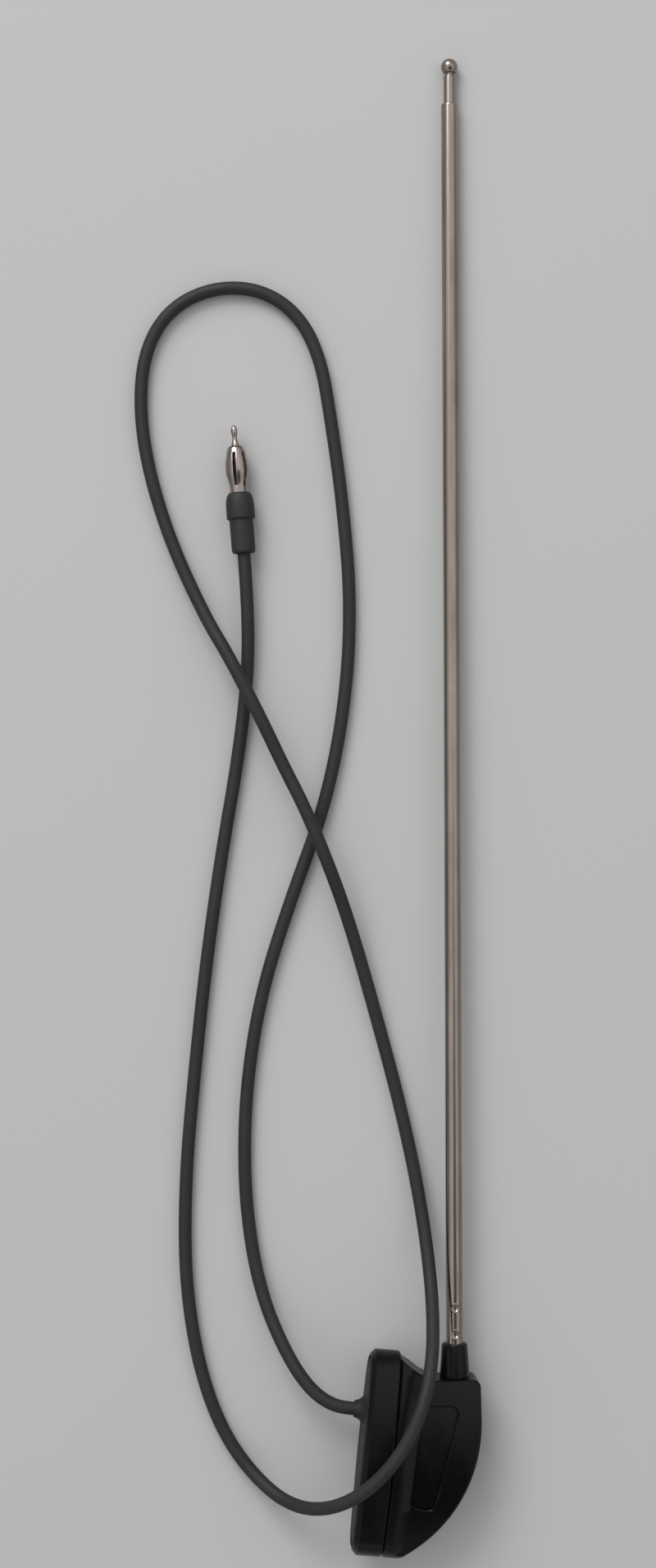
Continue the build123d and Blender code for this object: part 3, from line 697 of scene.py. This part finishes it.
@dataclass
class Lead:
    """Flexible lead from the gland to the plug, lying as the photograph shows it."""

    diameter: float = 5.3 * MM
    length: float = 1.475
    around: int = 10
    along: int = 12
    route: tuple[Triple, ...] = (
        (-0.02452, -0.24183, 0.01510), (-0.02908, -0.24136, 0.01542), (-0.03382, -0.23983, 0.01550),
        (-0.03852, -0.23703, 0.01520), (-0.04322, -0.23273, 0.01430), (-0.04842, -0.22593, 0.01250),
        (-0.05442, -0.21553, 0.00900), (-0.06102, -0.20043, 0.00480), (-0.06612, -0.17963, 0.00270),
        (-0.06912, -0.14983, 0.00270), (-0.06812, -0.11383, 0.00270), (-0.06192, -0.07583, 0.00270),
        (-0.04992, -0.03833, 0.00270), (-0.03572, 0.00017, 0.00270), (-0.02772, 0.04217, 0.00270),
        (-0.02572, 0.08217, 0.00270), (-0.02912, 0.12217, 0.00270), (-0.03392, 0.15617, 0.00270),
        (-0.03812, 0.18067, 0.00270), (-0.04702, 0.19817, 0.00270), (-0.06202, 0.20817, 0.00270),
        (-0.08052, 0.20917, 0.00270), (-0.09752, 0.20167, 0.00270), (-0.10812, 0.18667, 0.00270),
        (-0.11152, 0.16517, 0.00270), (-0.10872, 0.13867, 0.00270), (-0.09952, 0.10767, 0.00270),
        (-0.08512, 0.07617, 0.00600), (-0.07452, 0.05867, 0.01280), (-0.06112, 0.03267, 0.01340),
        (-0.05292, 0.01517, 0.01140), (-0.04392, -0.00223, 0.01340), (-0.03312, -0.02843, 0.01260),
        (-0.02532, -0.05133, 0.00640), (-0.01552, -0.08583, 0.00270), (-0.00572, -0.12233, 0.00280),
        (0.00148, -0.15583, 0.00460), (0.00548, -0.18333, 0.01100), (0.00688, -0.20383, 0.02100),
        (0.00608, -0.21983, 0.03100), (0.00268, -0.23483, 0.03700), (-0.00412, -0.25043, 0.03860),
        (-0.01492, -0.26443, 0.03840), (-0.02792, -0.27443, 0.03500), (-0.04112, -0.28003, 0.02460),
        (-0.05352, -0.27943, 0.01240), (-0.06552, -0.27083, 0.00460), (-0.07572, -0.25743, 0.00270),
        (-0.08372, -0.23933, 0.00270), (-0.08972, -0.21583, 0.00270), (-0.09312, -0.18583, 0.00270),
        (-0.09252, -0.14783, 0.00270), (-0.08912, -0.10983, 0.00270), (-0.08452, -0.06583, 0.00270),
        (-0.07832, -0.02183, 0.00270), (-0.07172, 0.01617, 0.00270), (-0.06752, 0.05017, 0.00300),
        (-0.06712, 0.07817, 0.00575), (-0.06912, 0.10317, 0.00575),
    )

    def build(self, finish: bpy.types.Material) -> bpy.types.Object:
        """Make the lead as one smooth round curve.

        Args:
            finish: Material of the sheath.

        Returns:
            The lead.
        """
        curve = bpy.data.curves.new("antenna_lead", "CURVE")
        curve.dimensions = "3D"
        curve.resolution_u = self.along
        curve.bevel_depth = self.diameter / 2
        curve.bevel_resolution = self.around
        curve.use_fill_caps = True
        spline = curve.splines.new("NURBS")
        spline.points.add(len(self.route) - 1)
        for point, place in zip(spline.points, self.route):
            point.co = (*place, 1.0)
        spline.order_u = 3
        spline.use_endpoint_u = True
        curve.materials.append(finish)
        lead = bpy.data.objects.new("antenna_lead", curve)
        bpy.context.scene.collection.objects.link(lead)
        LOG.info("lead with %d route points", len(self.route))
        return lead

    def declare(self, lead: bpy.types.Object) -> None:
        """Ride the lead on the base and hide the cable solid that it stands for.

        Args:
            lead: The lead's curve.
        """
        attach(lead, Body.BASE.value)
        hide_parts("antenna_cable")


@dataclass
class Plug:
    """Radio plug on the end of the lead: rubber boot, slotted spring barrel, maroon core and centre pin.

    Millimetres, heights from the lead's end in the sunk mouth of the boot.
    """

    axes: Axes = Axes((-0.06912, 0.10317, 0.00575), (-0.002, 0.025, 0.0), (0.0, 0.0, 1.0))
    mouth: float = 7.4
    mouth_depth: float = 2.0
    mouth_lip: float = 0.4
    mouth_bevel: float = 0.15
    tail: float = 9.6
    tail_round: float = 1.8
    tail_length: float = 11.6
    boot: float = 11.5
    boot_length: float = 22.4
    step_round: float = 0.7
    step_bevel: float = 0.3
    crown: float = 7.6
    shoulder: float = 6.0
    grip: float = 6.0
    barrel_length: float = 18.2
    barrel_wall: float = 0.5
    neck: float = 2.4
    waist: float = 7.2
    bulge: float = 9.6
    bulge_place: float = 9.1
    tip: float = 6.4
    tip_slope: float = -1 / 3
    slots: int = 6
    slot_turn: float = -11.0
    slot_width: float = 1.4
    slot_start: float = 2.6
    slot_end: float = 2.2
    edge_bevel: float = 0.08
    finger_rows: int = 30
    finger_columns: int = 8
    play: float = 0.05
    core_proud: float = 0.5
    core_round: float = 0.25
    pin_root: float = 3.2
    pin_waist: float = 1.9
    pin_tip: float = 2.7
    pin_length: float = 9.2
    pin_waist_place: float = 4.0

    def build(self, finishes: Finishes) -> list[bpy.types.Object]:
        """Make the boot, barrel, core and pin.

        Args:
            finishes: The shared finishes.

        Returns:
            The pieces of the plug.
        """
        return [
            turned_piece("plug_boot", Body.BASE, turned(self.boot_profile()), self.axes, finishes.boot, 40.0),
            self.make_barrel(finishes.nickel),
            turned_piece("plug_insulator", Body.BASE, turned(self.core_profile()), self.axes, finishes.insulator),
            turned_piece("plug_pin", Body.BASE, turned(self.pin_profile(), 48), self.axes, finishes.nickel),
        ]

    def boot_profile(self) -> Profile:
        """Profile of the boot: sunk mouth, slim tail, a step and a long rounded shoulder.

        Returns:
            Its closed run of points.
        """
        end = -self.mouth_depth
        lip = self.mouth / 2 + self.mouth_lip
        tail = self.tail / 2
        bore = self.waist / 2 + self.play
        shoulder_foot = self.boot_length - self.shoulder
        crown = self.crown / 2
        mouth = self.mouth / 2
        bevel = self.mouth_bevel
        inside = [(0.0, 0.0), (mouth, 0.0), (mouth, end + bevel), (mouth + bevel, end)]
        tail_end = quarter((lip, end + self.tail_round), (tail - lip, self.tail_round), 270.0)
        step = [
            (tail, self.tail_length - self.step_bevel),
            (tail + self.step_bevel, self.tail_length),
            (self.boot / 2 - self.step_round, self.tail_length),
        ]
        step_edge = quarter(
            (self.boot / 2 - self.step_round, self.tail_length + self.step_round), (self.step_round,) * 2, 270.0, 8
        )
        top = quarter((crown, shoulder_foot), (self.boot / 2 - crown, self.shoulder), 0.0, 24)
        hole = [(bore, self.boot_length), (bore, self.boot_length - self.grip), (0.0, self.boot_length - self.grip)]
        return inside + tail_end + step + step_edge + top + hole

    def barrel_radius(self, height: float) -> float:
        """Outer radius of the barrel at a height above the boot.

        Args:
            height: Height in millimetres.

        Returns:
            Radius in millimetres.
        """
        if height <= self.neck:
            return self.waist / 2
        if height <= self.bulge_place:
            return self.eased(height, self.neck, self.bulge_place, self.waist / 2, self.bulge / 2, 0.0)
        return self.eased(
            height, self.bulge_place, self.barrel_length, self.bulge / 2, self.tip / 2, self.tip_slope
        )

    @staticmethod
    def eased(height: float, start: float, end: float, first: float, last: float, slope: float) -> float:
        """Cubic from one radius, level, to another with a slope.

        Args:
            height: Where the cubic is read.
            start: Height of the first radius.
            end: Height of the last radius.
            first: First radius.
            last: Last radius.
            slope: Slope at the last radius.

        Returns:
            Radius at that height.
        """
        run = end - start
        share = (height - start) / run
        rise = share * share * (3 - 2 * share)
        return first + (last - first) * rise + slope * run * share * share * (share - 1)

    def finger_sheet(self) -> bpy.types.Mesh:
        """One slot-to-slot sector of the barrel's outer skin, with half a slot open along each side.

        Returns:
            The sheet, in metres, about the upright axis.
        """
        open_from = self.slot_start
        open_to = self.barrel_length - self.slot_end
        rows_open = self.finger_rows
        heights = [-self.grip + self.play, -2.0, 0.0, 1.4]
        heights += [open_from + (open_to - open_from) * step / rows_open for step in range(rows_open + 1)]
        heights += [self.barrel_length - self.slot_end / 2, self.barrel_length]
        half_sector = math.pi / self.slots
        across = self.finger_columns
        work = bmesh.new()
        rows = []
        for height in heights:
            radius = self.barrel_radius(height)
            gap = math.asin(self.slot_width / 2 / self.barrel_radius(min(max(height, open_from), open_to)))
            inner = [-1 + 2 * step / across for step in range(across + 1)]
            angles = [-half_sector] + [share * (half_sector - gap) for share in inner] + [half_sector]
            rows.append([
                work.verts.new((radius * MM * math.cos(angle), radius * MM * math.sin(angle), height * MM))
                for angle in angles
            ])
        for low, high, foot, top in zip(rows, rows[1:], heights, heights[1:]):
            slotted = foot >= open_from - 1e-6 and top <= open_to + 1e-6
            columns = range(1, across + 1) if slotted else range(across + 2)
            for column in columns:
                work.faces.new((low[column], low[column + 1], high[column + 1], high[column]))
        mesh = bpy.data.meshes.new("plug_barrel_dressed")
        soften(work, 60.0)
        work.to_mesh(mesh)
        work.free()
        return mesh

    def make_barrel(self, finish: bpy.types.Material) -> bpy.types.Object:
        """Repeat the sector round the axis, give the skin its wall and break its edges.

        Args:
            finish: Material of the barrel.

        Returns:
            The barrel.
        """
        piece = link_piece("plug_barrel_dressed", self.finger_sheet(), finish)
        repeat_round(piece, self.slots, math.radians(self.slot_turn) + math.pi / self.slots, finish)
        wall = piece.modifiers.new("wall", "SOLIDIFY")
        wall.thickness = self.barrel_wall * MM
        wall.offset = -1.0
        wall.use_even_offset = True
        edges = piece.modifiers.new("edges", "BEVEL")
        edges.width = self.edge_bevel * MM
        edges.segments = 2
        edges.limit_method = "ANGLE"
        edges.angle_limit = math.radians(50)
        settled(piece)
        work = bmesh.new()
        work.from_mesh(piece.data)
        soften(work, 40.0)
        work.to_mesh(piece.data)
        work.free()
        lift = Matrix.Translation((0.0, 0.0, self.boot_length * MM))
        piece.data.transform(self.axes.matrix() @ lift)
        return stand_for(piece, "plug_barrel", Body.BASE)

    def core_profile(self) -> Profile:
        """Profile of the maroon core that holds the pin in the barrel.

        Returns:
            Its closed run of points.
        """
        outer = self.tip / 2 - self.barrel_wall - self.play
        foot = self.boot_length - self.grip + self.play
        top = self.boot_length + self.barrel_length + self.core_proud
        bore = self.pin_root / 2
        return rounded([(bore, foot, 0.0), (outer, foot, 0.0), (outer, top, self.core_round), (bore, top, 0.0)])

    def pin_profile(self) -> Profile:
        """Profile of the centre pin: straight root, waisted shank and rounded tip.

        Returns:
            Its closed run of points.
        """
        barrel_top = self.boot_length + self.barrel_length
        root = barrel_top + self.core_proud
        waist = barrel_top + self.pin_waist_place
        tip = barrel_top + self.pin_length
        crown = tip - self.pin_tip
        points = [(0.0, self.boot_length), (self.pin_root / 2, self.boot_length), (self.pin_root / 2, root)]
        for step in range(1, 13):
            height = root + (waist - root) * step / 12
            points.append((self.eased(height, root, waist, self.pin_root / 2, self.pin_waist / 2, 0.0), height))
        for step in range(1, 9):
            height = waist + (crown - waist) * step / 8
            points.append((self.eased(height, waist, crown, self.pin_waist / 2, self.pin_tip / 2, 0.0), height))
        return points + quarter((0.0, crown), (self.pin_tip / 2, self.pin_tip), 0.0)[1:]


def repeat_round(piece: bpy.types.Object, count: int, turn: float, finish: bpy.types.Material) -> None:
    """Repeat a sector of a mesh round the upright axis with Geometry Nodes.

    Args:
        piece: Object that holds one sector.
        count: Sectors in the full round.
        turn: Angle of the first sector, in radians.
        finish: Material of the result.
    """
    tree = bpy.data.node_groups.new("repeat_round", "GeometryNodeTree")
    tree.interface.new_socket("Geometry", in_out="OUTPUT", socket_type="NodeSocketGeometry")
    tree.interface.new_socket("Geometry", in_out="INPUT", socket_type="NodeSocketGeometry")
    count_socket = tree.interface.new_socket("Count", in_out="INPUT", socket_type="NodeSocketInt")
    turn_socket = tree.interface.new_socket("Turn", in_out="INPUT", socket_type="NodeSocketFloat")
    source = add_node(tree, "NodeGroupInput", {})
    points = add_node(tree, "GeometryNodePoints", {"Count": source.outputs["Count"]})
    share = add_node(
        tree, "ShaderNodeMath", {0: 2 * math.pi, 1: source.outputs["Count"]}, operation="DIVIDE"
    )
    number = add_node(tree, "GeometryNodeInputIndex", {})
    angle = add_node(
        tree,
        "ShaderNodeMath",
        {0: number.outputs[0], 1: share.outputs[0], 2: source.outputs["Turn"]},
        operation="MULTIPLY_ADD",
    )
    rotation = add_node(
        tree, "FunctionNodeAxisAngleToRotation", {"Axis": (0.0, 0.0, 1.0), "Angle": angle.outputs[0]}
    )
    copies = add_node(
        tree,
        "GeometryNodeInstanceOnPoints",
        {"Points": points.outputs[0], "Instance": source.outputs["Geometry"], "Rotation": rotation.outputs[0]},
    )
    real = add_node(tree, "GeometryNodeRealizeInstances", {"Geometry": copies.outputs[0]})
    joined = add_node(tree, "GeometryNodeMergeByDistance", {"Geometry": real.outputs[0], "Distance": 0.002 * MM})
    dressed = add_node(
        tree, "GeometryNodeSetMaterial", {"Geometry": joined.outputs[0], "Material": finish}
    )
    add_node(tree, "NodeGroupOutput", {"Geometry": dressed.outputs[0]})
    modifier = piece.modifiers.new("repeat_round", "NODES")
    modifier.node_group = tree
    modifier[count_socket.identifier] = count
    modifier[turn_socket.identifier] = turn


@dataclass
class Base:
    """Oval base with its gasket, gland and the pivot inside it. Millimetres along the pivot axis."""

    pivot: Triple = (-0.00799903, -0.239116, 0.013872)
    pivot_axis: Triple = (0.992314, -0.10245, -0.06941)
    oval_axis: Triple = (0.101028, 0.994601, -0.0237)
    gland_drop: float = 4.4
    gland_back: float = -7.5
    gasket_back: float = -9.1
    mounting_face: float = -12.1
    gland_flange: float = 15.0
    gland_root: float = 12.3
    gland_neck: float = 7.0
    trumpet_power: float = 1.6
    trumpet_steps: int = 16
    neck_start: float = -15.6
    gland_mouth: float = -16.2
    mouth_round: float = 0.5

    def build(self, finishes: Finishes) -> None:
        """Dress the base and what it holds.

        Args:
            finishes: The shared finishes.
        """
        dressed_copy("base_housing", Body.BASE, finishes.moulding)
        dressed_copy("mounting_gasket", Body.BASE, finishes.gasket)
        drop = Vector(self.oval_axis) * -self.gland_drop * MM
        axes = Axes(tuple(Vector(self.pivot) + drop), self.pivot_axis, self.oval_axis)
        turned_piece("cable_gland", Body.BASE, turned(self.gland_profile()), axes, finishes.gasket, 40.0)
        for node in ("pivot_sleeve", "contact_pin", "core_lead"):
            dressed_copy(node, Body.BASE, finishes.brass)
        for node in ("spring_washer", "pivot_nut"):
            dressed_copy(node, Body.BASE, finishes.steel)
        dressed_copy("friction_disc", Body.BASE, finishes.fibre)
        dressed_copy("pivot_insulator", Body.BASE, finishes.nylon)

    def gland_profile(self) -> Profile:
        """Profile of the gland: flange, root through the gasket, and a trumpet down to the neck.

        Returns:
            Its closed run of points.
        """
        root = self.gland_root / 2
        drop = self.mounting_face - self.neck_start
        trumpet = []
        for step in range(self.trumpet_steps + 1):
            share = step / self.trumpet_steps
            sink = (root - self.gland_neck / 2) * (1 - (1 - share) ** self.trumpet_power)
            trumpet.append((root - sink, self.mounting_face - drop * share))
        neck = self.gland_neck / 2
        mouth = [
            (neck, self.gland_mouth + self.mouth_round),
            (neck - 0.15 * self.mouth_round, self.gland_mouth + 0.4 * self.mouth_round),
            (neck - 0.4 * self.mouth_round, self.gland_mouth),
        ]
        flange = [
            (0.0, self.gland_mouth),
            (0.0, self.gland_back),
            (self.gland_flange / 2, self.gland_back),
            (self.gland_flange / 2, self.gasket_back),
            (root, self.gasket_back),
        ]
        return trumpet + mouth + flange


@dataclass
class Holder:
    """Swivelling mast holder with its cover, collar and the mast foot inside it. Millimetres along the mast."""

    collar_foot_height: float = 9.4
    collar_height: float = 13.2
    collar_foot: float = 12.0
    collar_tip: float = 10.2
    collar_bore: float = 6.8
    collar_round: float = 0.7
    foot_round: float = 0.15
    bore_round: float = 0.2

    def build(self, finishes: Finishes, axes: Axes) -> None:
        """Dress the holder and what it holds.

        Args:
            finishes: The shared finishes.
            axes: Place of the mast.
        """
        dressed_copy("mast_holder", Body.HOLDER, finishes.moulding, 40.0)
        dressed_copy("access_cover", Body.HOLDER, finishes.moulding)
        turned_piece("mast_collar", Body.HOLDER, turned(self.collar_profile()), axes, finishes.moulding)
        for node in ("mast_foot", "contact_spring"):
            dressed_copy(node, Body.HOLDER, finishes.brass)
        for node in ("foot_nut", "stop_pin"):
            dressed_copy(node, Body.HOLDER, finishes.steel)
        dressed_copy("mast_insulator", Body.HOLDER, finishes.nylon)

    def collar_profile(self) -> Profile:
        """Profile of the tapered collar, rounded at its top.

        Returns:
            Its closed run of points.
        """
        foot = self.collar_foot_height
        top = foot + self.collar_height
        bore = self.collar_bore / 2
        return rounded([
            (bore, foot, 0.0),
            (self.collar_foot / 2, foot, self.foot_round),
            (self.collar_tip / 2, top, self.collar_round),
            (bore, top, self.bore_round),
        ])


@dataclass
class Mast:
    """Telescopic mast: outer tube with its crimps, middle tube, rod and tip ball. Millimetres from the pivot."""

    axes: Axes = Axes(
        (0.0158397, -0.239066, 0.012163), (-0.003251, 0.999862, -0.016315), (0.071463, 0.016506, 0.997306)
    )
    outer: float = 6.7
    outer_foot: float = -5.0
    outer_top: float = 522.0
    middle: float = 4.8
    middle_foot: float = 60.0
    middle_top: float = 533.5
    rod: float = 3.0
    rod_foot: float = 72.0
    wall: float = 0.4
    slide_gap: float = 0.12
    lip_depth: float = 0.9
    lip_round: float = 0.7
    lip_share: float = 0.8
    mouth_round: float = 0.15
    ball: float = 6.8
    ball_foot: float = 534.8
    ball_height: float = 5.7
    ball_seat: float = 3.2
    crimp_heights: tuple[float, float] = (26.6, 37.1)
    crimp_radius: float = 2.0
    crimp_depth: float = 0.6
    crimp_lip: float = 0.09
    crimp_lip_width: float = 0.5

    def build(self, finishes: Finishes) -> None:
        """Make the stages of the mast.

        Args:
            finishes: The shared finishes.
        """
        tube = turned(self.tube_profile(self.outer, self.middle, self.outer_foot, self.outer_top), 96)
        self.punch(tube)
        turned_piece("outer_tube", Body.HOLDER, tube, self.axes, finishes.chrome)
        middle = turned(self.tube_profile(self.middle, self.rod, self.middle_foot, self.middle_top))
        turned_piece("middle_tube", Body.MIDDLE, middle, self.axes, finishes.chrome)
        rod_top = self.ball_foot + self.ball_seat
        rod = turned([(0.0, self.rod_foot), (self.rod / 2, self.rod_foot), (self.rod / 2, rod_top), (0.0, rod_top)], 48)
        turned_piece("inner_rod", Body.TOP, rod, self.axes, finishes.chrome)
        turned_piece("tip_ball", Body.TOP, turned(self.ball_profile()), self.axes, finishes.chrome)
        dressed_copy("middle_sleeve", Body.MIDDLE, finishes.brass)
        dressed_copy("rod_sleeve", Body.TOP, finishes.brass)

    def tube_profile(self, diameter: float, inside: float, foot: float, top: float) -> Profile:
        """Profile of a tube with its upper end rolled in towards the stage inside it.

        Args:
            diameter: Outer diameter.
            inside: Diameter of the stage that slides in it.
            foot: Height of its lower end.
            top: Height of its upper end.

        Returns:
            Its closed run of points.
        """
        radius = diameter / 2
        bore = radius - self.wall
        mouth = inside / 2 + self.slide_gap
        bend = min(self.lip_round, self.lip_share * (radius - mouth))
        points = [(radius, foot)]
        for height in self.crimp_heights:
            if diameter == self.outer:
                span = self.crimp_radius + self.crimp_lip_width
                points += [(radius, height + span * (step / 20 - 1)) for step in range(41)]
        points += rounded([(radius, foot, 0.0), (radius, top, bend), (mouth, top, self.mouth_round)])[1:]
        return points + [(mouth, top - self.lip_depth), (bore, top - self.lip_depth - self.wall), (bore, foot)]

    def punch(self, work: bmesh.types.BMesh) -> None:
        """Punch the two crimps into the upper side of the outer tube, each with a slight raised lip.

        Args:
            work: The turned tube, with its axis upright.
        """
        reach = self.outer / 2 + self.crimp_radius - self.crimp_depth
        for vert in work.verts:
            radius = math.hypot(vert.co.x, vert.co.y) / MM
            if radius < self.outer / 2 - 0.01:
                continue
            across = vert.co.x / MM / radius
            for height in self.crimp_heights:
                rise = vert.co.z / MM - height
                away = math.sqrt(max(0.0, radius**2 + reach**2 - 2 * radius * reach * across + rise**2))
                new = radius
                if away < self.crimp_radius:
                    depth = self.crimp_radius**2 - rise**2 - reach**2 * (1 - across**2)
                    new = reach * across - math.sqrt(max(0.0, depth))
                elif away < self.crimp_radius + self.crimp_lip_width:
                    share = (away - self.crimp_radius) / self.crimp_lip_width
                    new = radius + self.crimp_lip * math.sin(math.pi * share)
                vert.co.x *= new / radius
                vert.co.y *= new / radius
                radius = new
        work.normal_update()

    def ball_profile(self) -> Profile:
        """Profile of the tip ball with its seat for the rod.

        Returns:
            Its closed run of points.
        """
        radius = self.ball / 2
        middle = self.ball_foot + self.ball_height - radius
        low = math.asin((self.ball_foot - middle) / radius)
        points = [(0.0, self.ball_foot + self.ball_seat), (self.rod / 2, self.ball_foot + self.ball_seat)]
        points.append((self.rod / 2, self.ball_foot))
        for step in range(29):
            angle = low + (math.pi / 2 - low) * step / 28
            points.append((max(0.0, radius * math.cos(angle)), middle + radius * math.sin(angle)))
        points[-1] = (0.0, middle + radius)
        return points


def main() -> None:
    """Build the scene in order."""
    logging.basicConfig(level=logging.INFO, format="%(name)s: %(message)s")
    Studio().build()
    finishes = Finishes()
    lead = Lead()
    strand = lead.build(finishes.sheath)
    plug = Plug().build(finishes)
    lead.declare(strand)
    mast = Mast()
    Base().build(finishes)
    Holder().build(finishes, mast.axes)
    mast.build(finishes)


if __name__ == "__main__":
    main()
